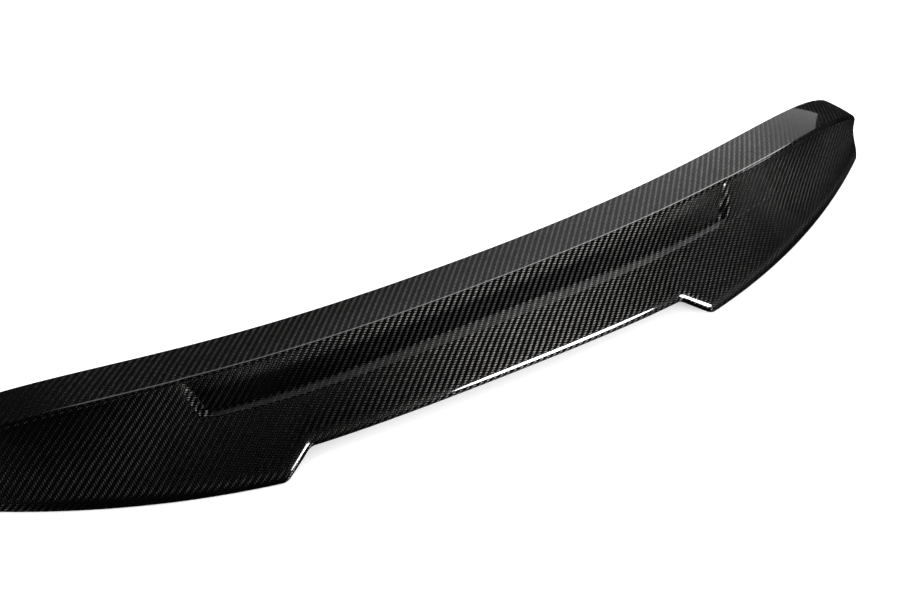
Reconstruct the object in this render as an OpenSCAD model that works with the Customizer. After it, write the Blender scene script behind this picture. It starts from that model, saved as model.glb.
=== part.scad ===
// Car boot spoiler: one moulded carbon laminate shell that wraps the rear edge of a boot lid.
// Frame: X to the right seen from behind the car, Y to the front of the car, Z up.
// X = 0 is the plane of symmetry. The shell stands on its rolled lower edge at z = 0,
// with the origin on the floor in the middle of its length and depth.

/* [Shell] */
// Length between the two trimmed tips, measured at the crease
spoiler_len = 1150; // [1000:10:1300]
// How much further out each tip lies at the crease than at the lower edge
tip_lean = 10; // [0:1:30]
// Thickness of the laminate
wall = 2; // [1.5:0.1:2.6]

/* [Crease] */
// Height of the crease above the floor in the middle
crease_h = 88; // [70:1:110]
// How much the crease would gain towards the ends if it didn't fall to the tips
crease_rise = 43; // [0:1:60]
// Height of the crease at the tips
crease_tip_h = 45; // [35:1:70]
// How far the tips of the crease lie forward of its middle
crease_sweep = 88; // [20:1:120]
// Rounding of the crease
crease_r = 5; // [3:0.5:6]

/* [Top strip] */
// Front-to-back width of the strip in the middle
strip_w = 54; // [40:1:70]
// How much the strip would widen towards the ends if it didn't narrow at the tips
strip_gain = 10; // [0:1:20]
// Width of the strip at the tips
strip_tip_w = 52; // [30:1:70]
// Fall of the strip from the crease to its front edge, in degrees
strip_fall = 10; // [0:1:20]
// Crown of the strip across its width
strip_crown = 1; // [0:0.25:2]

/* [Recess] */
// Length of the recess along the crease
recess_len = 660; // [560:10:760]
// Distance from the crease to the rim under the recess
rim_drop = 45; // [38:1:52]
// Depth of the floor behind the line from crease to rim
recess_depth = 5; // [3.5:0.5:8]
// How much steeper than its chord the floor starts, and shallower it ends, in degrees
scoop_turn = 4; // [2:1:12]
// Slope of the shelf behind the rim, in degrees
shelf_slope = 8; // [0:1:15]
// Rounding between the floor and the shelf
cove_r = 4; // [3:0.5:6]
// Run of the end walls of the recess
recess_run = 14; // [10:1:20]
// Rounding of the lower corners of the recess
recess_corner_r = 12; // [6:1:20]
// How much further out the ends of the recess lie at the crease than at the rim
end_lean = 18; // [0:1:30]
// Rounding of the rim
rim_r = 3; // [3:0.5:4]
// Extra steepness of the small step under the rim, in degrees
rim_step = 15; // [6:1:30]

/* [Lower flange] */
// How far the rim stands out of the straight face in the middle
rim_bulge = 6; // [2:0.5:8]
// How far the face is hollowed beyond the ends of the recess
end_hollow = 3.5; // [0:0.5:5]
// Hollow of the flange between rim and lower edge
flange_hollow = 1.5; // [0:0.25:3]
// Half length of the notch at its top
notch_half_top = 221; // [180:1:240]
// Half length of the notch at the corners of the two tabs
notch_half_low = 254; // [245:1:275]
// Width of the flange inside the notch
notch_flange = 50; // [40:1:56]

/* [Rolled lower edge] */
// How much steeper the flange turns just above the roll, in degrees
edge_bend = 20; // [6:1:26]
// Radius of that bend
bend_r = 34; // [12:1:40]
// How far the lower edge would reach behind the crease in the middle
foot_reach = 92; // [80:1:110]
// How far the lower edge lies forward of the middle of the crease at the tips
foot_tip = 76; // [50:1:80]
// Radius of the roll
roll_r = 5; // [3.5:0.5:6]
// Width of the level land behind the roll
land_w = 4; // [2:0.5:8]

/* [Hidden] */
half_len = spoiler_len / 2;
recess_half = recess_len / 2;
sharp_r = wall + 0.9;
edge_r = max(crease_r, sharp_r);
lip_r = max(rim_r, sharp_r);
step_r = 1.5;
tangent_r = bend_r - (bend_r - roll_r) * cos(edge_bend);
bend_reach = (bend_r - roll_r) * sin(edge_bend);
rim_frac = 0.378;
bulge_half = 360;
notch_round = 0.15;
carbon = [0.09, 0.09, 0.10];

// Directions in a section are angles below the horizontal, seen going to the rear.
// A point or a direction of a section is [y, z].
function dir(a) = [-cos(a), -sin(a)];
function inward(a) = [sin(a), -cos(a)];
function slope(p, q) = atan2(p[1] - q[1], p[0] - q[0]);
function mix(a, b, t) = a + (b - a) * t;
function clamp01(t) = min(1, max(0, t));
function smooth(t) = t * t * (3 - 2 * t);

// Value that starts at mid, gains towards the ends and lands on tip.
function along(n, mid, gain, tip) = mid + gain * pow(n, 2) - (mid + gain - tip) * pow(n, 6);

// Ramp from 0 to 1 with rounded corners.
function ramp(v, e) =
    v < -e ? 0 :
    v < e ? pow(v + e, 2) / (4 * e) :
    v < 1 - e ? v :
    v < 1 + e ? 1 - pow(1 + e - v, 2) / (4 * e) :
    1;

// Long curves of the shell, as functions of the distance n from the middle (0) to a tip (1).
function crease(n) = [crease_sweep * pow(n, 4), along(n, crease_h, crease_rise, crease_tip_h)];
function strip_edge(n) = crease(n) - along(n, strip_w, strip_gain, strip_tip_w) * dir(-strip_fall);
function foot(n) = [mix(-foot_reach, foot_tip, pow(n, 2.5)), roll_r];

// Slope of a line from p that runs tangent onto the bend above the roll, and its length.
// The bend and the roll together act as one roll of radius tangent_r.
function face_slope(p, q) = slope(p, q) - asin(tangent_r / norm(q - p));
function face_len(p, q) = sqrt(pow(norm(q - p), 2) - pow(tangent_r, 2)) - bend_reach;

// Rim under the recess. It stands out in the middle and lies in a shallow hollow at the ends.
// What lies between crease and lower edge shrinks with the face towards the tips.
function rim_dist(n) = min(rim_drop, rim_frac * (face_len(crease(n), foot(n)) + bend_reach));
function shrink(n) = rim_dist(n) / rim_drop;
function bulge(n) =
    shrink(n) * mix(-end_hollow, rim_bulge, (1 + cos(180 * min(1, n * half_len / bulge_half))) / 2);
function rim(n) =
    let (a = face_slope(crease(n), foot(n)))
    crease(n) + rim_dist(n) * dir(a) - bulge(n) * inward(a);

// How far the recess is open at station u: 1 in the middle, 0 beyond the end walls.
// f runs from 0 at the crease to 1 at the rim and rounds the lower corners.
function corner(f) =
    let (g = clamp01(1 - (1 - f) * rim_drop / recess_corner_r))
    recess_corner_r * (1 - sqrt(1 - g * g));
function opened(u, f) = smooth(clamp01((recess_half - corner(f) - abs(u)) / recess_run));

// Straight strip with a slight crown.
function strip_pt(t, n, a) =
    let (c = crease(n))
    let (e = c - edge_r * tan((a + strip_fall) / 2) * dir(-strip_fall))
    mix(strip_edge(n), e, t) - 4 * t * (1 - t) * strip_crown * inward(-strip_fall);

// Rounded crease that turns from the strip to slope a.
function crease_pt(t, n, a) =
    let (s = -strip_fall)
    let (start = crease(n) - edge_r * tan((a - s) / 2) * dir(s))
    start + edge_r * inward(s) - edge_r * inward(mix(s, a, t));

// Rim seen from its lower end backwards: step, lip and the end of the shelf.
function step_end(n) = rim(n) + step_r * dir(face_slope(rim(n), foot(n)));
function step_pt(t, n) =
    let (a = face_slope(rim(n), foot(n)))
    step_end(n) - step_r * inward(a) + step_r * inward(mix(a + rim_step, a, t));
function lip_pt(t, n) =
    let (a = face_slope(rim(n), foot(n)) + rim_step)
    step_pt(0, n) + lip_r * inward(a) - lip_r * inward(mix(shelf_slope, a, t));
function shelf_back(n) =
    let (a = slope(crease(n), rim(n)))
    lip_pt(0, n) - shrink(n) * recess_depth / sin(a - shelf_slope) * dir(shelf_slope);

// Slope at the lower end of the floor, and the rounded corner where it meets the shelf.
function floor_end(n) = slope(crease(n), shelf_back(n)) - scoop_turn;
function cove_pt(t, n) =
    let (a = floor_end(n))
    let (r = cove_r * shrink(n))
    let (start = shelf_back(n) - r * tan((a - shelf_slope) / 2) * dir(a))
    start - r * inward(a) + r * inward(mix(a, shelf_slope, t));

// Scooped floor from the crease to the cove.
function floor_pt(t, n, a) =
    let (p0 = crease(n) + edge_r * tan((a + strip_fall) / 2) * dir(a))
    let (p3 = cove_pt(0, n))
    let (k = norm(p3 - p0) * 0.4)
    let (p1 = p0 + k * dir(a))
    let (p2 = p3 - k * dir(floor_end(n)))
    pow(1 - t, 3) * p0 + 3 * pow(1 - t, 2) * t * p1 + 3 * (1 - t) * t * t * p2 + pow(t, 3) * p3;

// Point of the recess, laid back onto the plain face by the share that the recess isn't open.
function laid(p, n, b) =
    let (a = slope(crease(n), rim(n)))
    let (s = clamp01((p - crease(n)) * dir(a) / rim_dist(n)))
    let (sag = 4 * s * (1 - s) * flange_hollow * shrink(n) * pow(rim_frac / (1 - rim_frac), 2))
    p + (1 - b) * ((crease(n) - p) * inward(a) + sag) * inward(a);

function laid_on_flange(p, n, b) =
    let (a = face_slope(rim(n), foot(n)))
    p + (1 - b) * ((rim(n) - p) * inward(a)) * inward(a);

// Slope of the face just under the crease.
function start_slope(n, b) = mix(slope(crease(n), rim(n)), floor_end(n) + 2 * scoop_turn, b);

// Flange and rolled edge. cut is 1 inside the notch and 0 on the tabs.
function cut(x) = 1 - ramp((abs(x) - notch_half_top) / (notch_half_low - notch_half_top), notch_round);
function flange_len(n, x) = mix(face_len(rim(n), foot(n)), notch_flange - roll_r - bend_reach, cut(x));
function flange_pt(t, n, x) =
    let (a = face_slope(rim(n), foot(n)))
    mix(step_end(n), rim(n) + flange_len(n, x) * dir(a), t)
    + 4 * t * (1 - t) * flange_hollow * shrink(n) * inward(a);
function bend_pt(t, n, x) =
    let (a = face_slope(rim(n), foot(n)))
    flange_pt(1, n, x) + bend_r * inward(a) - bend_r * inward(a + t * edge_bend);
function roll_pt(t, n, x) =
    let (a = face_slope(rim(n), foot(n)) + edge_bend)
    bend_pt(1, n, x) + roll_r * inward(a) - roll_r * inward(mix(a, 180, t));
function land_pt(n, x) = roll_pt(1, n, x) + [land_w, 0];

// Rows of a section, each as [piece, place in the piece, share of the end lean].
ROWS = [
    for (k = [0:5]) [0, k / 5, 0],
    for (k = [1:4]) [1, k / 4, 0],
    for (k = [1:5]) [2, k / 5, k / 5 * 0.78],
    for (k = [1:2]) [3, k / 2, 0.78 + 0.02 * k],
    for (k = [0:3]) [4, k / 3, 1],
    for (k = [1:2]) [5, k / 2, 1],
    for (k = [1:4]) [6, k / 4, 1],
    for (k = [1:2]) [7, k / 2, 1],
    for (k = [1:5]) [8, k / 5, 1],
    [9, 1, 1]
];

function section_pt(row, n, x, b) =
    let (t = row[1])
    let (a = start_slope(n, b))
    row[0] == 0 ? strip_pt(t, n, a) :
    row[0] == 1 ? crease_pt(t, n, a) :
    row[0] == 2 ? laid(floor_pt(t, n, a), n, b) :
    row[0] == 3 ? laid(cove_pt(t, n), n, b) :
    row[0] == 4 ? laid(lip_pt(t, n), n, b) :
    row[0] == 5 ? laid_on_flange(step_pt(t, n), n, b) :
    row[0] == 6 ? flange_pt(t, n, x) :
    row[0] == 7 ? bend_pt(t, n, x) :
    row[0] == 8 ? roll_pt(t, n, x) :
    land_pt(n, x);

// Outer skin at station u. The ends lean, so the lower rows lie nearer to the middle.
function lean(u) =
    abs(u) < recess_half ? end_lean * u / recess_half :
    sign(u) * mix(end_lean, tip_lean, (abs(u) - recess_half) / (half_len - recess_half));
function skin_pt(u, row) =
    let (x = u - lean(u) * row[2])
    let (p = section_pt(row, abs(x) / half_len, x, opened(u, row[2])))
    [x, p[0], p[1]];

// Stations of one half: even steps plus close ones at the notch corners and the recess ends.
function steps(a, b, k) = [for (i = [0:k]) mix(a, b, i / k)];
function sorted(v) =
    len(v) < 2 ? v :
    let (m = v[floor(len(v) / 2)])
    concat(sorted([for (i = v) if (i < m) i]), [m], sorted([for (i = v) if (i > m) i]));
function spaced(v, gap) = [for (i = [0:len(v) - 1]) if (i == 0 || v[i] - v[i - 1] > gap) v[i]];

notch_r = (notch_half_low - notch_half_top) * notch_round;
recess_in = recess_half - recess_corner_r - recess_run;
lower_scale = 1 - end_lean / recess_half;
half_stations = spaced(sorted(concat(
    steps(0, recess_in - 20, 7),
    [for (x = [notch_half_top, notch_half_low]) each steps((x - notch_r) / lower_scale, (x + notch_r) / lower_scale, 4)],
    steps(recess_in, recess_half + 3, 9),
    steps(recess_half + 18, half_len, 9)
)), 1);
stations = concat([for (i = [len(half_stations) - 1:-1:1]) -half_stations[i]], half_stations);
last = len(stations) - 1;
rows = len(ROWS);

skin = [for (u = stations) [for (row = ROWS) skin_pt(u, row)]];

// Outward normal of the skin from its neighbours.
function unit(v) = v / norm(v);
function normal(i, j) =
    let (du = skin[min(i + 1, last)][j] - skin[max(i - 1, 0)][j])
    let (dv = skin[i][min(j + 1, rows - 1)] - skin[i][max(j - 1, 0)])
    unit(cross(dv, du));
function inner_pt(i, j) = skin[i][j] - wall * normal(i, j);
function edge_pt(i) =
    (skin[i][0] + inner_pt(i, 0)) / 2 + wall / 2 * unit(skin[i][0] - skin[i][1]);

// Closed loop of one station: outer skin, inner skin backwards, rounded front edge.
loop_len = 2 * rows + 1;
function ring(i) = concat(skin[i], [for (j = [rows - 1:-1:0]) inner_pt(i, j)], [edge_pt(i)]);
function at(i, k) = i * loop_len + k % loop_len;

points = [for (i = [0:last]) each ring(i)];
depths = [for (p = points) p[1]];
// The diagonals of the left half mirror those of the right half.
function quad(i, k) =
    stations[i] < 0
    ? [[at(i, k), at(i + 1, k), at(i, k + 1)], [at(i, k + 1), at(i + 1, k), at(i + 1, k + 1)]]
    : [[at(i, k), at(i + 1, k + 1), at(i, k + 1)], [at(i, k), at(i + 1, k), at(i + 1, k + 1)]];
sides = [for (i = [0:last - 1], k = [0:loop_len - 1]) each quad(i, k)];
function cap(i) = [
    for (j = [0:rows - 2])
    each [[at(i, j), at(i, j + 1), at(i, loop_len - 2 - j)], [at(i, j + 1), at(i, loop_len - 3 - j), at(i, loop_len - 2 - j)]],
    [at(i, 0), at(i, loop_len - 2), at(i, loop_len - 1)]
];
function flipped(tris) = [for (t = tris) [t[2], t[1], t[0]]];

// The origin lies on the floor under the middle of the whole depth.
module spoiler_shell() {
    color(carbon)
        translate([0, -(min(depths) + max(depths)) / 2, 0])
        polyhedron(points = points, faces = concat(sides, cap(0), flipped(cap(last))), convexity = 10);
}

spoiler_shell();
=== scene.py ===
"""Car boot spoiler in clear-coated carbon twill, on a white studio floor.

Lengths are in metres and angles in radians. X runs to the right seen from behind the car,
Y to the front of the car and Z up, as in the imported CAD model.
"""
import cmath
from math import asin, cos, hypot, pi, radians, sin, sqrt, tan

import bmesh
import bpy
from mathutils import Matrix, Vector


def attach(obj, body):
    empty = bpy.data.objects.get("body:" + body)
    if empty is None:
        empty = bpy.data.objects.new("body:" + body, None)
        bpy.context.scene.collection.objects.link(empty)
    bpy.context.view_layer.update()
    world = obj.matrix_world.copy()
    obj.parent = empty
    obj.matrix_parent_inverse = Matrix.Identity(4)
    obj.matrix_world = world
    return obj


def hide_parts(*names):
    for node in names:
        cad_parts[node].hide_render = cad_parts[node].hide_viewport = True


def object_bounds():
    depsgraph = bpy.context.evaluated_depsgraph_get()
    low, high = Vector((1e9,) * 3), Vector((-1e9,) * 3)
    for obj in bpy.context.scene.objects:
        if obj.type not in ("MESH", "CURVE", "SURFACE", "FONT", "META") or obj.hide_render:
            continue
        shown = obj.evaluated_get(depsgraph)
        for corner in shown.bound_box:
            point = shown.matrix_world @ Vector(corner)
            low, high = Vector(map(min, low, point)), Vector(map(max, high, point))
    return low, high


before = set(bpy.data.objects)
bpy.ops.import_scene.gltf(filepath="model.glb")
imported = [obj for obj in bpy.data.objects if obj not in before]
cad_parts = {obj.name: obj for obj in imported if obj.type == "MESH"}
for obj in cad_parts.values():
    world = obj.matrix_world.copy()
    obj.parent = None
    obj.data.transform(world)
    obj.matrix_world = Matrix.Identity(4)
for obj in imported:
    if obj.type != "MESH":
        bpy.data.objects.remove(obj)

bl_info = {
    "name": "Carbon Boot Spoiler",
    "version": (1, 0, 0),
    "blender": (4, 5, 0),
    "location": "View3D > Sidebar > Spoiler",
    "description": "Builds a moulded carbon boot spoiler and the studio it is shown in",
    "category": "Add Mesh",
}

CAD_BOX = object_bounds()
MM = 0.001


# Settings

def length(name, mm, text, low=0.0, high=2000.0):
    return bpy.props.FloatProperty(
        name=name, description=text, default=mm * MM, min=low * MM, max=high * MM,
        unit="LENGTH", precision=4)


def angle(name, degrees, text, low=0.0, high=90.0):
    return bpy.props.FloatProperty(
        name=name, description=text, default=radians(degrees), min=radians(low), max=radians(high),
        subtype="ANGLE", unit="ROTATION")


def linear(hex_colour):
    """sRGB hex colour as linear RGBA."""
    parts = [int(hex_colour[i:i + 2], 16) / 255 for i in (1, 3, 5)]
    return (*[c / 12.92 if c <= 0.04045 else ((c + 0.055) / 1.055) ** 2.4 for c in parts], 1.0)


def colour(name, hex_colour, text):
    return bpy.props.FloatVectorProperty(
        name=name, description=text, default=linear(hex_colour), size=4, min=0.0, max=1.0,
        subtype="COLOR")


class ShellSettings(bpy.types.PropertyGroup):
    """Sizes of the moulded shell, the same as in the CAD source."""
    spoiler_len: length("Length", 1150, "Length between the trimmed tips at the crease")
    tip_lean: length("Tip lean", 10, "How much further out a tip lies at the crease than at the lower edge")
    wall: length("Wall", 2, "Thickness of the laminate", 1, 4)
    crease_h: length("Crease height", 88, "Height of the crease in the middle")
    crease_rise: length("Crease rise", 43, "Gain of the crease towards the ends")
    crease_tip_h: length("Crease height at tip", 45, "Height of the crease at the tips")
    crease_sweep: length("Crease sweep", 88, "How far the tips of the crease lie forward of its middle")
    crease_r: length("Crease radius", 5, "Rounding of the crease", 1, 10)
    strip_w: length("Strip width", 54, "Width of the top strip in the middle")
    strip_gain: length("Strip gain", 10, "Gain of the strip's width towards the ends")
    strip_tip_w: length("Strip width at tip", 52, "Width of the top strip at the tips")
    strip_fall: angle("Strip fall", 10, "Fall of the strip from the crease to its front edge")
    strip_crown: length("Strip crown", 1, "Crown of the strip across its width")
    recess_len: length("Recess length", 660, "Length of the recess along the crease")
    rim_drop: length("Rim distance", 45, "Distance from the crease to the rim under the recess")
    recess_depth: length("Recess depth", 5, "Depth of the recess floor")
    scoop_turn: angle(
        "Scoop turn", 4, "How much steeper than its chord the floor starts, and shallower it ends")
    cove_r: length("Cove radius", 4, "Rounding between floor and shelf", 1, 10)
    shelf_slope: angle("Shelf slope", 8, "Slope of the shelf behind the rim")
    recess_run: length("End wall run", 14, "Run of the end walls of the recess")
    recess_corner_r: length("Recess corner radius", 12, "Rounding of the lower corners of the recess")
    end_lean: length("End lean", 18, "How much further out the recess ends lie at the crease")
    rim_r: length("Rim radius", 3, "Rounding of the rim", 1, 8)
    rim_step: angle("Rim step", 15, "Extra steepness of the small step under the rim")
    rim_bulge: length("Rim bulge", 6, "How far the rim stands out of the straight face in the middle")
    end_hollow: length("End hollow", 3.5, "Hollow of the face beyond the recess")
    flange_hollow: length("Flange hollow", 1.5, "Hollow of the lower flange")
    notch_half_top: length("Notch top half", 221, "Half length of the notch at its top")
    notch_half_low: length("Notch bottom half", 254, "Half length of the notch at the tabs")
    notch_flange: length("Notch flange", 50, "Width of the flange inside the notch")
    foot_reach: length("Lower edge reach", 92, "How far the lower edge reaches behind the crease")
    foot_tip: length("Lower edge at tip", 76, "How far forward the lower edge lies at the tips")
    edge_bend: angle("Edge bend", 20, "How much steeper the flange turns just above the roll")
    bend_r: length("Bend radius", 34, "Radius of that bend", 5, 60)
    roll_r: length("Roll radius", 5, "Radius of the rolled lower edge", 1, 10)
    land_w: length("Land width", 4, "Width of the level land behind the roll", 1, 10)


class LaminateSettings(bpy.types.PropertyGroup):
    """Look of the clear-coated twill."""
    tow: length("Tow width", 2, "Width of one carbon tow, 2 mm in a 3K twill", 0.5, 10)
    # Long and cross tows are the same carbon; the long tows are painted lighter, a painted sheen for where
    # the lamps make them shine.
    warp: colour("Long tows", "#757472", "Tows that run along the spoiler")
    weft: colour("Cross tows", "#31302f", "Tows that run up the section")
    lean: angle(
        "Cloth lean", -5, "Lean of the cross tows on the strip, where the cloth was pulled over the crease",
        -30, 30)
    gap: colour("Resin gap", "#020203", "Dark resin between two tows")
    back: colour("Bare back", "#3a3b3d", "Tows on the bare moulded back")
    crimp: length("Crimp", 0.16, "Height of the wave in a woven tow", 0.0, 1)


class StudioSettings(bpy.types.PropertyGroup):
    """Floor and camera."""
    floor: colour("Floor", "#f2f2f2", "Matt white paper under the part")
    floor_size: length("Floor size", 14000, "Width of the floor", 1000, 40000)
    lens: bpy.props.FloatProperty(
        name="Lens", description="Focal length in millimetres on a 36 mm wide frame",
        default=85.98, min=20, max=300)
    camera_place: bpy.props.FloatVectorProperty(
        name="Camera place", description="Where the camera stands", size=3,
        default=(-0.94940, -1.44375, 1.48649), subtype="TRANSLATION", unit="LENGTH")
    camera_turn: angle("Camera turn", 33.488, "Turn of the view from straight ahead to the right", -180, 180)
    camera_tilt: angle("Camera tilt", 39.966, "Tilt of the view below the horizon")
    camera_roll: angle("Camera roll", 2.470, "Roll of the camera about its view", -20, 20)


# Form of the shell

def mix(a, b, t):
    return a + (b - a) * t


def clamp01(t):
    return min(1.0, max(0.0, t))


def smooth(t):
    return t * t * (3 - 2 * t)


def ramp(v, e):
    """Ramp from 0 to 1 whose corners are rounded over e."""
    if v < -e:
        return 0.0
    if v < e:
        return (v + e) ** 2 / (4 * e)
    if v < 1 - e:
        return v
    if v < 1 + e:
        return 1 - (1 + e - v) ** 2 / (4 * e)
    return 1.0


# A point or direction of a section is a complex number, y + z j.
# Angles are below the horizontal, seen going to the rear.

def along_dir(a):
    return -cmath.rect(1, a)


def inward(a):
    return -1j * cmath.rect(1, a)


def slope(p, q):
    return cmath.phase(p - q)


def dot(p, q):
    return (p * q.conjugate()).real


class Form:
    """Curves and sections of the shell. s holds its sizes. n is the distance from the middle, 1 at a tip."""
    STEP_R = 1.5 * MM          # rounding of the step under the rim
    RIM_FRAC = 0.378           # most of the face's width that may lie above the rim
    BULGE_HALF = 360 * MM      # half length over which the rim stands out
    NOTCH_ROUND = 0.15         # share of a notch's slope that rounds each of its corners
    SHARP = 0.9 * MM           # least radius that a rounding keeps on the inner side of the wall
    SWEEP_POWER = 4            # how late the crease turns forward towards the tips
    FOOT_POWER = 2.5           # and how late the lower edge does
    FLOOR_PULL = 0.4           # length of the floor's handles, as a share of its chord
    EDGE_SAMPLE = 0.02         # share of the strip that gives the way its front edge runs

    def __init__(self, s):
        self.s = s
        self.half = s.spoiler_len / 2
        self.recess_half = s.recess_len / 2
        self.edge_r = max(s.crease_r, s.wall + self.SHARP)
        self.lip_r = max(s.rim_r, s.wall + self.SHARP)
        # a face runs tangent onto the bend, which acts as a roll of this radius
        self.tangent_r = s.bend_r - (s.bend_r - s.roll_r) * cos(s.edge_bend)
        self.bend_reach = (s.bend_r - s.roll_r) * sin(s.edge_bend)

    @staticmethod
    def gaining(n, mid, gain, tip):
        """Even curve that grows from mid by gain, and turns down to tip at the very end."""
        return mid + gain * n ** 2 - (mid + gain - tip) * n ** 6

    def crease(self, n):
        s = self.s
        height = self.gaining(n, s.crease_h, s.crease_rise, s.crease_tip_h)
        return complex(s.crease_sweep * n ** self.SWEEP_POWER, height)

    def strip_edge(self, n):
        s = self.s
        width = self.gaining(n, s.strip_w, s.strip_gain, s.strip_tip_w)
        return self.crease(n) - width * along_dir(-s.strip_fall)

    def foot(self, n):
        return complex(mix(-self.s.foot_reach, self.s.foot_tip, n ** self.FOOT_POWER), self.s.roll_r)

    def face_slope(self, p, q):
        return slope(p, q) - asin(self.tangent_r / abs(q - p))

    def face_len(self, p, q):
        return sqrt(abs(q - p) ** 2 - self.tangent_r ** 2) - self.bend_reach

    def set_station(self, u, f, x):
        """Works out what a section needs at station u, for the rows with end lean f, which lie at x."""
        s = self.s
        n = abs(x) / self.half
        self.n = n
        c, q = self.crease(n), self.foot(n)
        self.c, a = c, self.face_slope(c, q)
        self.rim_dist = min(s.rim_drop, self.RIM_FRAC * (self.face_len(c, q) + self.bend_reach))
        self.shrink = self.rim_dist / s.rim_drop
        swell = (1 + cos(pi * min(1, n * self.half / self.BULGE_HALF))) / 2
        out = mix(-s.end_hollow, s.rim_bulge, swell) * self.shrink
        self.rim = c + self.rim_dist * along_dir(a) - out * inward(a)
        self.upper = slope(c, self.rim)
        self.lower = self.face_slope(self.rim, q)
        g = clamp01(1 - (1 - f) * s.rim_drop / s.recess_corner_r)
        corner = s.recess_corner_r * (1 - sqrt(1 - g * g))
        self.open = smooth(clamp01((self.recess_half - corner - abs(u)) / s.recess_run))
        back = self.shelf_back()
        chord = slope(c, back)
        self.start = mix(self.upper, chord + s.scoop_turn, self.open)
        self.end = chord - s.scoop_turn
        down = (abs(x) - s.notch_half_top) / (s.notch_half_low - s.notch_half_top)
        cut = 1 - ramp(down, self.NOTCH_ROUND)
        self.flange_len = mix(self.face_len(self.rim, q), s.notch_flange - s.roll_r - self.bend_reach, cut)
        self.hollow = s.flange_hollow * self.shrink

    def strip(self, t):
        s, top = self.s, -self.s.strip_fall
        end = self.c - self.edge_r * tan((self.start - top) / 2) * along_dir(top)
        return mix(self.strip_edge(self.n), end, t) - 4 * t * (1 - t) * s.strip_crown * inward(top)

    def crease_fillet(self, t):
        top = -self.s.strip_fall
        begin = self.c - self.edge_r * tan((self.start - top) / 2) * along_dir(top)
        return begin + self.edge_r * (inward(top) - inward(mix(top, self.start, t)))

    def step(self, t):
        a = self.lower
        end = self.rim + self.STEP_R * along_dir(a)
        return end + self.STEP_R * (inward(mix(a + self.s.rim_step, a, t)) - inward(a))

    def lip(self, t):
        a = self.lower + self.s.rim_step
        return self.step(0) + self.lip_r * (inward(a) - inward(mix(self.s.shelf_slope, a, t)))

    def shelf_back(self):
        s = self.s
        depth = s.recess_depth * self.shrink
        return self.lip(0) - depth / sin(self.upper - s.shelf_slope) * along_dir(s.shelf_slope)

    def cove(self, t):
        """Rounded corner where the floor meets the shelf."""
        r, shelf = self.s.cove_r * self.shrink, self.s.shelf_slope
        begin = self.shelf_back() - r * tan((self.end - shelf) / 2) * along_dir(self.end)
        return begin - r * inward(self.end) + r * inward(mix(self.end, shelf, t))

    def floor(self, t):
        top = -self.s.strip_fall
        p0 = self.c + self.edge_r * tan((self.start - top) / 2) * along_dir(self.start)
        p3 = self.cove(0)
        k = abs(p3 - p0) * self.FLOOR_PULL
        p1 = p0 + k * along_dir(self.start)
        p2 = p3 - k * along_dir(self.end)
        return (1 - t) ** 3 * p0 + 3 * (1 - t) ** 2 * t * p1 + 3 * (1 - t) * t * t * p2 + t ** 3 * p3

    def laid(self, p):
        """Recess point, laid back on the plain face by the share that the recess isn't open."""
        way, into = along_dir(self.upper), inward(self.upper)
        d = clamp01(dot(p - self.c, way) / self.rim_dist)
        sag = 4 * d * (1 - d) * self.hollow * (self.RIM_FRAC / (1 - self.RIM_FRAC)) ** 2
        return p + (1 - self.open) * (dot(self.c - p, into) + sag) * into

    def laid_on_flange(self, p):
        into = inward(self.lower)
        return p + (1 - self.open) * dot(self.rim - p, into) * into

    def flange(self, t):
        a = self.lower
        begin = self.rim + self.STEP_R * along_dir(a)
        return (mix(begin, self.rim + self.flange_len * along_dir(a), t)
                + 4 * t * (1 - t) * self.hollow * inward(a))

    def bend(self, t):
        a = self.lower
        return self.flange(1) + self.s.bend_r * (inward(a) - inward(a + t * self.s.edge_bend))

    def roll(self, t):
        a = self.lower + self.s.edge_bend
        return self.bend(1) + self.s.roll_r * (inward(a) - inward(mix(a, pi, t)))

    def point(self, piece, t):
        """Point of the section, t of the way along one of its pieces."""
        if piece == "edge":
            # the trimmed front edge stands half a wall past the strip, for its rounding
            away = self.strip(0) - self.strip(self.EDGE_SAMPLE)
            return self.strip(0) + self.s.wall / 2 * (1 - t) * away / abs(away)
        if piece == "strip":
            return self.strip(t)
        if piece == "crease":
            return self.crease_fillet(t)
        if piece == "floor":
            return self.laid(self.floor(t))
        if piece == "cove":
            return self.laid(self.cove(t))
        if piece == "shelf":
            return self.laid(mix(self.cove(1), self.lip(0), t))
        if piece == "lip":
            return self.laid(self.lip(t))
        if piece == "step":
            return self.laid_on_flange(self.step(t))
        if piece == "flange":
            return self.flange(t)
        if piece == "bend":
            return self.bend(t)
        if piece == "roll":
            return self.roll(t)
        return self.roll(1) + self.s.land_w * t

    def lean(self, u):
        """How much nearer to the middle a station's foot lies than its crease."""
        s = self.s
        if abs(u) < self.recess_half:
            return s.end_lean * u / self.recess_half
        side = 1 if u > 0 else -1
        beyond = (abs(u) - self.recess_half) / (self.half - self.recess_half)
        return side * mix(s.end_lean, s.tip_lean, beyond)


# Rows of a section from the front edge of the strip down to the land under the roll:
# piece, number of rows, and the end lean of its first and last row.
ROWS = (
    ("edge", 2, 0.0, 0.0), ("strip", 14, 0.0, 0.0), ("crease", 10, 0.0, 0.0),
    ("floor", 16, 0.0, 0.78), ("cove", 4, 0.78, 0.82), ("shelf", 3, 0.82, 0.95), ("lip", 9, 0.95, 1.0),
    ("step", 4, 1.0, 1.0), ("flange", 15, 1.0, 1.0), ("bend", 5, 1.0, 1.0), ("roll", 12, 1.0, 1.0),
    ("land", 2, 1.0, 1.0),
)

# Steps along one half of the shell: over the middle, a notch corner, a tab, a recess end and a tip.
STATION_STEPS = (34, 38, 6, 26, 46)
NOTCH_MARGIN = 7 * MM
WALL_MARGIN = 2 * MM


def section_rows():
    rows = [("edge", 0.0, 0.0)]
    for piece, count, f0, f1 in ROWS:
        rows += [(piece, k / count, mix(f0, f1, k / count)) for k in range(1, count + 1)]
    return rows


def steps(a, b, count):
    return [mix(a, b, k / count) for k in range(count + 1)]


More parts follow.
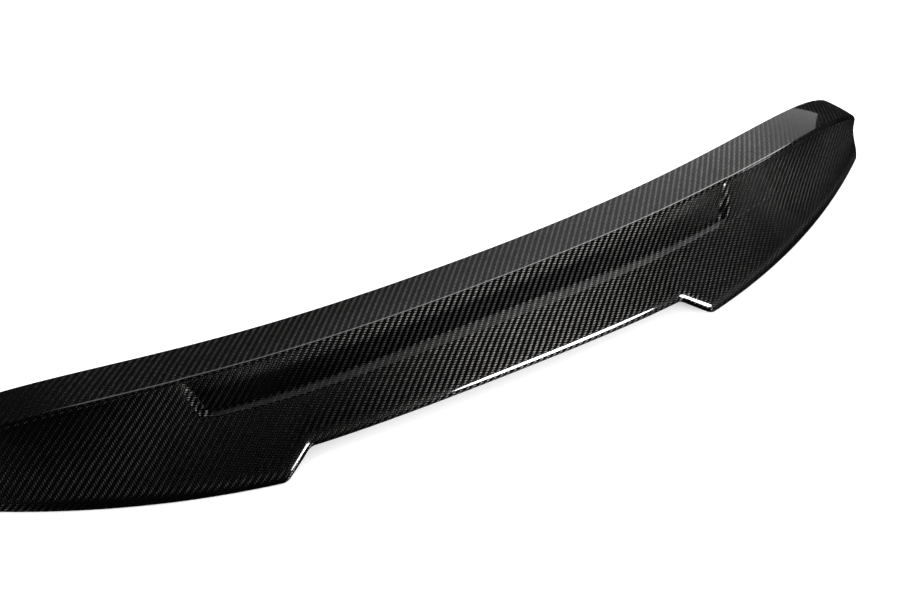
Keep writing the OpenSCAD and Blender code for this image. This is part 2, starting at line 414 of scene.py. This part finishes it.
def stations(form):
    """Places along the shell: even steps, close ones at the notch corners and the recess ends."""
    s = form.s
    lower = 1 - s.end_lean / form.recess_half
    notch_in, notch_out = (s.notch_half_top - NOTCH_MARGIN) / lower, (s.notch_half_low + NOTCH_MARGIN) / lower
    wall_in = form.recess_half - s.recess_corner_r - s.recess_run - WALL_MARGIN
    wall_out = form.recess_half + WALL_MARGIN
    marks = (0, notch_in, notch_out, wall_in, wall_out, form.half)
    half = []
    for a, b, count in zip(marks, marks[1:], STATION_STEPS):
        half += steps(a, b, count)[:-1]
    half.append(form.half)
    return [-u for u in half[:0:-1]] + half


# Objects, nodes and materials

CLOTH_MAP = "Cloth"        # UV map that counts tows
RECESS_SHADE = "RecessShade"              # attribute: painted shade darkening the recess floor (red), and clear coat left off in the recess so that it mirrors no lamp (green)
TWILL_REPEAT = 4.0         # a 2x2 twill repeats after four tows
FLOAT_CELLS = 2.0          # and each tow floats over two
FLOAT_ARCH = 0.45          # share of a float's height that rises and falls along it
GAP_HEIGHT = 0.4           # height of the cloth under which only resin shows, and above which a float is painted brighter towards its crown, a painted highlight
DIM_FLOAT = 0.55           # brightness of the dimmest float


def new_object(name, mesh, mats=()):
    piece = bpy.data.objects.new(name, mesh)
    bpy.context.collection.objects.link(piece)
    for mat in mats:
        mesh.materials.append(mat)
    return piece


def add_node(tree, kind, inputs=None, **settings):
    """Adds a node. inputs maps a socket's name or number to a value or to the socket it is linked from."""
    node = tree.nodes.new(kind)
    for key, value in settings.items():
        setattr(node, key, value)
    for key, value in (inputs or {}).items():
        if isinstance(value, bpy.types.NodeSocket):
            tree.links.new(value, node.inputs[key])
        else:
            node.inputs[key].default_value = value
    return node


def new_material(name):
    mat = bpy.data.materials.new(name)
    mat.use_nodes = True
    mat.node_tree.nodes.clear()
    return mat, mat.node_tree


def twill(tree):
    """2x2 twill from the cloth's own UV map, which counts tows: x across the cross tows,
    y across the long tows. Gives the long tows' mask, the height of the cloth and a random value
    for each float."""
    def calc(operation, a, b=0.0, c=0.0):
        node = add_node(tree, "ShaderNodeMath", operation=operation)
        for socket, value in zip(node.inputs, (a, b, c)):
            if isinstance(value, bpy.types.NodeSocket):
                tree.links.new(value, socket)
            else:
                socket.default_value = value
        return node.outputs[0]

    cloth = add_node(tree, "ShaderNodeUVMap", uv_map=CLOTH_MAP)
    split = add_node(tree, "ShaderNodeSeparateXYZ", {0: cloth.outputs[0]})
    a, b = split.outputs[0], split.outputs[1]
    col, row = calc("FLOOR", a), calc("FLOOR", b)
    turn = calc("FLOORED_MODULO", calc("ADD", col, row), TWILL_REPEAT)
    long_on_top = calc("GREATER_THAN", turn, FLOAT_CELLS - 0.5)

    def float_height(place, across):
        """Round across the tow, and up and down again over the two cells that it floats."""
        side = calc("SUBTRACT", calc("MULTIPLY", calc("FRACT", across), 2.0), 1.0)
        crown = calc("SUBTRACT", 1.0, calc("MULTIPLY", side, side))
        arch = calc("SINE", calc("MULTIPLY", calc("FRACT", calc("MULTIPLY", place, 1 / FLOAT_CELLS)), pi))
        return calc("MULTIPLY", crown, calc("MULTIPLY_ADD", arch, FLOAT_ARCH, 1 - FLOAT_ARCH))

    cross_height = float_height(calc("ADD", col, b), a)
    long_height = float_height(calc("ADD", a, row), b)
    height = add_node(tree, "ShaderNodeMix", {0: long_on_top, 2: cross_height, 3: long_height}).outputs[0]

    # one random value for each float: its tow, and which float of that tow it is
    cross_id = calc("FLOOR", calc("MULTIPLY", calc("ADD", col, b), 1 / TWILL_REPEAT))
    long_id = calc("FLOOR", calc("MULTIPLY", calc("ADD", a, row), 1 / TWILL_REPEAT))
    tow = add_node(tree, "ShaderNodeMix", {0: long_on_top, 2: col, 3: row}).outputs[0]
    which = add_node(tree, "ShaderNodeMix", {0: long_on_top, 2: cross_id, 3: long_id}).outputs[0]
    place = add_node(tree, "ShaderNodeCombineXYZ", {0: tow, 1: which, 2: long_on_top})
    noise = add_node(tree, "ShaderNodeTexWhiteNoise", {0: place.outputs[0]}, noise_dimensions="3D")
    return long_on_top, height, noise.outputs[0]


def laminate_material(name, look, coated):
    """Carbon fibre reinforced epoxy, laid up from 3K 2x2 twill in a polished mould. Its filaments
    mirror light across their length only, so the tows that run one way shine where the others are
    black, under a clear coat that is as smooth as glass. The bare back has no coat and is duller."""
    mat, tree = new_material(name)
    long_on_top, height, chance = twill(tree)
    warp, weft = (look.warp, look.weft) if coated else (look.back, look.back)
    # painted sheen: the long tows get a much lighter colour than the cross tows
    tows = add_node(tree, "ShaderNodeMix", {0: long_on_top, 6: tuple(weft), 7: tuple(warp)}, data_type="RGBA")
    # tows differ a little in how they lie, so each float has its own brightness
    spread = add_node(tree, "ShaderNodeMapRange", {0: chance, 3: DIM_FLOAT, 4: 1.0})
    varied = add_node(tree, "ShaderNodeMix", {0: 1.0, 6: tows.outputs[2], 7: spread.outputs[0]},
                      data_type="RGBA", blend_type="MULTIPLY")
    # each float's colour darkens from its crown to the resin colour at its sides and ends: the resin between
    # tows is real, the bright crown a painted highlight
    crown = add_node(tree, "ShaderNodeMapRange", {0: height, 1: GAP_HEIGHT, 2: 1.0})
    base = add_node(tree, "ShaderNodeMix", {0: crown.outputs[0], 6: tuple(look.gap), 7: varied.outputs[2]},
                    data_type="RGBA")
    coat = 0.0
    if coated:
        # painted shade: the cloth turns towards the resin colour in the recess floor, and the clear coat is
        # left off in the recess so that it mirrors no lamp there
        shade_mark = add_node(tree, "ShaderNodeAttribute", attribute_name=RECESS_SHADE)
        depth = add_node(tree, "ShaderNodeSeparateColor", {0: shade_mark.outputs["Color"]})
        base = add_node(tree, "ShaderNodeMix", {0: depth.outputs[0], 6: base.outputs[2], 7: tuple(look.gap)},
                        data_type="RGBA")
        left = add_node(tree, "ShaderNodeMath", {0: 1.0, 1: depth.outputs[1]}, operation="SUBTRACT")
        coat = left.outputs[0]
    bump = add_node(tree, "ShaderNodeBump", {"Strength": 1.0, "Distance": look.crimp, "Height": height})
    # filaments lie across the tangent, so the long tows' tangent is turned by a quarter
    turn = add_node(tree, "ShaderNodeMath", {0: long_on_top, 1: 0.25}, operation="MULTIPLY")
    tangent = add_node(tree, "ShaderNodeTangent", direction_type="UV_MAP", uv_map=CLOTH_MAP)
    shader = add_node(tree, "ShaderNodeBsdfPrincipled", {
        "Base Color": base.outputs[2], "Normal": bump.outputs[0],
        "Metallic": 1.0 if coated else 0.6, "Roughness": 0.5 if coated else 0.6, "IOR": 1.5,
        "Anisotropic": 1.0, "Anisotropic Rotation": turn.outputs[0], "Tangent": tangent.outputs[0],
        "Coat Weight": coat, "Coat Roughness": 0.04, "Coat IOR": 1.5,
    })
    add_node(tree, "ShaderNodeOutputMaterial", {"Surface": shader.outputs[0]})
    return mat


# Build steps

CLOTH_EASE = 60 * MM                  # the cloth shears over about a hand's width
SHADE_LEFT, SHADE_RIGHT = 0.75, 0.30    # strength of the painted shade in the recess floor, left and right of its fade
SHADE_FADE = (0.10, 0.25)              # where it fades, in metres from the middle
SHADE_START, SHADE_RUN = 0.15, 0.3      # share of the floor's width over which it sets in
MATT = {"floor": 1.0, "cove": 1.0, "shelf": 0.9}    # clear coat left off in the recess, so that it mirrors no lamp and looks darker
MATT_EASE = 6                         # how soon the coat is left off on the leaning end walls
EDGE_EASE = 0.7 * MM                  # rounding of the cut edges
EDGE_ANGLE = radians(50)


class SPOILER_OT_shell(bpy.types.Operator):
    """Build the moulded shell with its crease, recess, notch and rolled edge"""
    bl_idname = "spoiler.shell"
    bl_label = "Shell"

    def execute(self, context):
        s, look = context.scene.spoiler_shell, context.scene.spoiler_laminate
        form, rows = Form(s), section_rows()
        places = stations(form)
        last_place, last_row = len(places) - 1, len(rows) - 1
        # the shell's depth is centred on the origin, as in the CAD
        low, high = CAD_BOX
        shift = high[1] - self.front(form)

        grid, shade_marks = [], []
        for u in places:
            line, shade_mark = [], []
            for piece, t, f in rows:
                x = u - form.lean(u) * f
                form.set_station(u, f, x)
                p = form.point(piece, t)
                line.append(Vector((x, p.real + shift, p.imag)))
                shade_mark.append(self.painted_recess_shade(form, piece, t, u))
            grid.append(line)
            shade_marks.append(shade_mark)

        bm = bmesh.new()
        bmesh.ops.create_grid(bm, x_segments=last_place, y_segments=last_row, size=1.0)
        cloth = bm.loops.layers.uv.new(CLOTH_MAP)
        # painted shade of the recess floor and the share of its clear coat left off, for each vertex
        depth = bm.verts.layers.float_vector.new(RECESS_SHADE)
        index = {}
        for v in bm.verts:
            i, j = round((v.co.x + 1) / 2 * last_place), round((v.co.y + 1) / 2 * last_row)
            index[v] = (i, j)
        tows = self.cloth(grid, rows, look.tow, look.lean)
        for v, (i, j) in index.items():
            v.co = grid[i][j]
            v[depth] = shade_marks[i][j]
        for face in bm.faces:
            face.smooth = True
            for loop in face.loops:
                i, j = index[loop.vert]
                loop[cloth].uv = tows[i][j]
        bmesh.ops.recalc_face_normals(bm, faces=bm.faces)
        bm.normal_update()

        # the open sheet's outer side is the one that looks up at the middle of the crease
        def from_crease(face):
            at = face.calc_center_median()
            return abs(at.x) + abs(at.z - s.crease_h)

        if min(bm.faces, key=from_crease).normal.z < 0:
            bmesh.ops.reverse_faces(bm, faces=bm.faces)
        mesh = bpy.data.meshes.new("spoiler_shell_piece")
        bm.to_mesh(mesh)
        bm.free()

        coated = laminate_material("carbon_twill_clear_coated", look, True)
        back = laminate_material("carbon_twill_bare_back", look, False)
        piece = new_object("carbon_shell", mesh, (coated, back))
        wall = piece.modifiers.new("Wall", "SOLIDIFY")
        wall.thickness, wall.offset = s.wall, -1.0
        wall.use_even_offset = True
        wall.use_quality_normals = True
        wall.material_offset, wall.material_offset_rim = 1, 1
        ease = piece.modifiers.new("Eased edges", "BEVEL")
        ease.width, ease.segments, ease.limit_method = EDGE_EASE, 3, "ANGLE"
        ease.angle_limit = EDGE_ANGLE

        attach(piece, "root")
        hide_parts("spoiler_shell")
        return {"FINISHED"}

    @staticmethod
    def painted_recess_shade(form, piece, t, u):
        """Painted shade in the recess floor at a point, stronger on the left, and how much of the clear coat
        is left off there so that it mirrors no lamp.
        """
        matt = MATT.get(piece, 0.0) * clamp01(MATT_EASE * form.open)
        if piece != "floor":
            return 0.0, matt, 0.0
        fade = smooth(clamp01((u - SHADE_FADE[0]) / (SHADE_FADE[1] - SHADE_FADE[0])))
        set_in = smooth(clamp01((t - SHADE_START) / SHADE_RUN))
        return mix(SHADE_LEFT, SHADE_RIGHT, fade) * form.open * set_in, matt, 0.0

    @staticmethod
    def front(form):
        """Foremost point of the unshifted shell, at the front edge of a tip."""
        form.set_station(form.half, 0.0, form.half)
        return form.point("edge", 0.0).real

    @staticmethod
    def cloth(grid, rows, tow, lean):
        """Cloth coordinates in tows. The cloth lies flat along the crease and runs down each section."""
        start = next(j for j, row in enumerate(rows) if row[0] == "crease")
        face = next(j for j, row in enumerate(rows) if row[0] == "flange")
        runs = []
        for line in grid:
            run = [0.0]
            for p, q in zip(line, line[1:]):
                run.append(run[-1] + hypot(q.y - p.y, q.z - p.z))
            runs.append([r - run[start] for r in run])
        tows = []
        for i, line in enumerate(grid):
            # the cloth shears, so its run down is a mean of its neighbours'
            middle = line[0].x
            near = [(1 - abs(grid[k][0].x - middle) / CLOTH_EASE, runs[k]) for k in range(len(grid))
                    if abs(grid[k][0].x - middle) < CLOTH_EASE]
            out = []
            for j, p in enumerate(line):
                k = min(j, face)
                down = sum(w * r[k] for w, r in near) / sum(w for w, r in near) + runs[i][j] - runs[i][k]
                out.append(((p.x + tan(lean) * min(down, 0)) / tow, down / tow))
            tows.append(out)
        return tows


FLOOR_LIFT = 0.25      # glow that the camera and reflections see, so that lit paper is plain white
SKY = 1.5              # strength of the plain light from all round
TENT_GLOW = 0.015
TENT_SIZE, TENT_MIDDLE = (6.0, 6.7, 2.7), (0.6, -0.85, 1.3505)

# Lamps: name, place, target, width and height, radiance.
# Two low ones on the camera's side, to its right, whose mirror images are the bright lines on the
# rolled edge and on both slopes of the notch, and two fills that the camera sees no image of.
SOFTBOXES = (
    ("key", (0.87, -1.40, 0.27), (0.87, 0.0, 0.10), (0.80, 0.27), 52.0),
    ("key_far", (1.88, -3.90, 0.73), (1.88, 0.0, 0.10), (0.83, 0.75), 32.0),
    ("left_fill", (-2.25, -0.60, 0.45), (-0.2, 0.0, 0.10), (0.80, 0.60), 14.0),
    ("right_fill", (2.20, -0.60, 1.90), (0.4, 0.0, 0.10), (0.50, 0.50), 9.0),
)

# Glowing sheets: name, place, target, size, span in X, and glow at both ends of it. Two high panels
# beyond the part draw the line along the crease. Two dim cards light nothing, and give the clear coat
# something pale to mirror, on the strip and at the right end.
PANELS = (
    ("back_panel", (0.9, 0.91, 1.55), (0.9, 0.0, 0.09), (2.4, 0.99), (0.4, 1.4), (1.8, 6.5)),
    ("back_wash", (0.9, 1.14, 1.52), (0.9, 0.0, 0.09), (2.4, 0.90), (0.5, 1.4), (0.3, 0.6)),
)
CARDS = (
    ("front_card", (0.9, 1.9, 0.8), (0.9, 0.0, 0.8), (3.2, 1.5), (0.65, 1.45), (0.03, 0.64)),
    ("side_card", (3.3, -0.9, 1.3), (0.0, -0.9, 1.3), (4.0, 2.4), (0.0, 1.0), (0.08, 0.08)),
)


class SPOILER_OT_studio(bpy.types.Operator):
    """Build the floor, the lamps and the camera"""
    bl_idname = "spoiler.studio"
    bl_label = "Studio"

    def execute(self, context):
        s = context.scene.spoiler_studio
        scene = context.scene
        scene.view_settings.view_transform = "Standard"

        # seamless matt paper: it holds the shadow, and shows white to the camera and in reflections
        mat, tree = new_material("white_paper_floor")
        paper = add_node(tree, "ShaderNodeBsdfDiffuse", {"Color": tuple(s.floor)})
        path = add_node(tree, "ShaderNodeLightPath")
        seen = path.outputs["Is Camera Ray"]
        for ray in ("Is Glossy Ray", "Is Transmission Ray"):
            either = add_node(tree, "ShaderNodeMath", {0: seen, 1: path.outputs[ray]}, operation="MAXIMUM")
            seen = either.outputs[0]
        lift = add_node(tree, "ShaderNodeMath", {0: seen, 1: FLOOR_LIFT}, operation="MULTIPLY")
        glow = add_node(tree, "ShaderNodeEmission", {"Color": (1, 1, 1, 1), "Strength": lift.outputs[0]})
        both = add_node(tree, "ShaderNodeAddShader", {0: paper.outputs[0], 1: glow.outputs[0]})
        add_node(tree, "ShaderNodeOutputMaterial", {"Surface": both.outputs[0]})
        bm = bmesh.new()
        bmesh.ops.create_grid(bm, x_segments=1, y_segments=1, size=s.floor_size / 2)
        mesh = bpy.data.meshes.new("floor")
        bm.to_mesh(mesh)
        bm.free()
        ground = new_object("floor", mesh, (mat,))

        world = bpy.data.worlds.new("studio")
        world.use_nodes = True
        tree = world.node_tree
        tree.nodes.clear()
        sky = add_node(tree, "ShaderNodeBackground", {"Color": (1, 1, 1, 1), "Strength": SKY})
        add_node(tree, "ShaderNodeOutputWorld", {"Surface": sky.outputs[0]})
        scene.world = world

        for lamp in SOFTBOXES:
            self.softbox(*lamp)
        for sheet in PANELS:
            self.panel(*sheet, lamp=True)
        self.tent()
        for card in CARDS:
            self.panel(*card, lamp=False)

        data = bpy.data.cameras.new("camera")
        data.lens, data.sensor_width, data.sensor_fit = s.lens, 36, "HORIZONTAL"
        data.clip_start, data.clip_end = 0.05, 60
        camera = bpy.data.objects.new("camera", data)
        context.collection.objects.link(camera)
        camera.matrix_world = (
            Matrix.Translation(s.camera_place) @ Matrix.Rotation(-s.camera_turn, 4, "Z")
            @ Matrix.Rotation(pi / 2 - s.camera_tilt, 4, "X") @ Matrix.Rotation(s.camera_roll, 4, "Z"))
        scene.camera = camera
        return {"FINISHED"}

    @staticmethod
    def aimed(place, target):
        way = (Vector(target) - Vector(place)).to_track_quat("-Z", "Y")
        return Matrix.Translation(place) @ way.to_matrix().to_4x4()

    def softbox(self, name, place, target, size, radiance):
        data = bpy.data.lights.new(name, "AREA")
        data.shape, (data.size, data.size_y) = "ELLIPSE", size
        ellipse = pi / 4 * size[0] * size[1]
        data.energy = radiance * pi * ellipse
        lamp = bpy.data.objects.new(name, data)
        bpy.context.collection.objects.link(lamp)
        lamp.matrix_world = self.aimed(place, target)

    def tent(self):
        """Box of dark cloth all round, so that the gloss mirrors black. Only its mirror image shows."""
        mat, tree = new_material("dark_cloth")
        glow = add_node(tree, "ShaderNodeEmission", {"Strength": TENT_GLOW})
        add_node(tree, "ShaderNodeOutputMaterial", {"Surface": glow.outputs[0]})
        bm = bmesh.new()
        bmesh.ops.create_cube(bm, size=1.0)
        bmesh.ops.scale(bm, vec=TENT_SIZE, verts=bm.verts)
        bmesh.ops.translate(bm, vec=TENT_MIDDLE, verts=bm.verts)
        self.hidden_sheet("tent", bm, mat, False)

    @staticmethod
    def hidden_sheet(name, bm, mat, lamp):
        mesh = bpy.data.meshes.new(name)
        bm.to_mesh(mesh)
        bm.free()
        sheet = new_object(name, mesh, (mat,))
        sheet.visible_camera = False
        sheet.visible_shadow = False
        sheet.visible_diffuse = lamp

    def panel(self, name, place, target, size, span, levels, lamp):
        """Cloth diffuser that glows from levels[0] to levels[1] over the span in X. One that is no lamp
        is a card, of which only the mirror image in the clear coat shows."""
        mat, tree = new_material("lit_diffuser_" + name)
        where = add_node(tree, "ShaderNodeTexCoord")
        x = add_node(tree, "ShaderNodeSeparateXYZ", {0: where.outputs["Object"]})
        level = add_node(tree, "ShaderNodeMapRange",
                         {0: x.outputs[0], 1: span[0], 2: span[1], 3: levels[0], 4: levels[1]},
                         interpolation_type="SMOOTHSTEP")
        glow = add_node(tree, "ShaderNodeEmission", {"Strength": level.outputs[0]})
        add_node(tree, "ShaderNodeOutputMaterial", {"Surface": glow.outputs[0]})
        bm = bmesh.new()
        bmesh.ops.create_grid(bm, x_segments=1, y_segments=1, size=0.5)
        bmesh.ops.scale(bm, vec=(size[0], size[1], 1), verts=bm.verts)
        bmesh.ops.transform(bm, matrix=self.aimed(place, target), verts=bm.verts)
        self.hidden_sheet(name, bm, mat, lamp)


class SPOILER_PT_panel(bpy.types.Panel):
    """Lists the settings and the build steps"""
    bl_label = "Boot Spoiler"
    bl_idname = "SPOILER_PT_panel"
    bl_space_type = "VIEW_3D"
    bl_region_type = "UI"
    bl_category = "Spoiler"

    def draw(self, context):
        layout = self.layout
        scene = context.scene
        for group in (scene.spoiler_shell, scene.spoiler_laminate, scene.spoiler_studio):
            box = layout.box()
            for name in group.bl_rna.properties.keys():
                if name not in ("rna_type", "name"):
                    box.prop(group, name)
        for operator in (SPOILER_OT_shell, SPOILER_OT_studio):
            layout.operator(operator.bl_idname)


CLASSES = (ShellSettings, LaminateSettings, StudioSettings,
           SPOILER_OT_shell, SPOILER_OT_studio, SPOILER_PT_panel)


def register():
    for cls in CLASSES:
        bpy.utils.register_class(cls)
    bpy.types.Scene.spoiler_shell = bpy.props.PointerProperty(type=ShellSettings)
    bpy.types.Scene.spoiler_laminate = bpy.props.PointerProperty(type=LaminateSettings)
    bpy.types.Scene.spoiler_studio = bpy.props.PointerProperty(type=StudioSettings)


def unregister():
    del bpy.types.Scene.spoiler_studio, bpy.types.Scene.spoiler_laminate, bpy.types.Scene.spoiler_shell
    for cls in reversed(CLASSES):
        bpy.utils.unregister_class(cls)


def main():
    register()
    bpy.ops.spoiler.shell()
    bpy.ops.spoiler.studio()


if __name__ == "__main__":
    main()
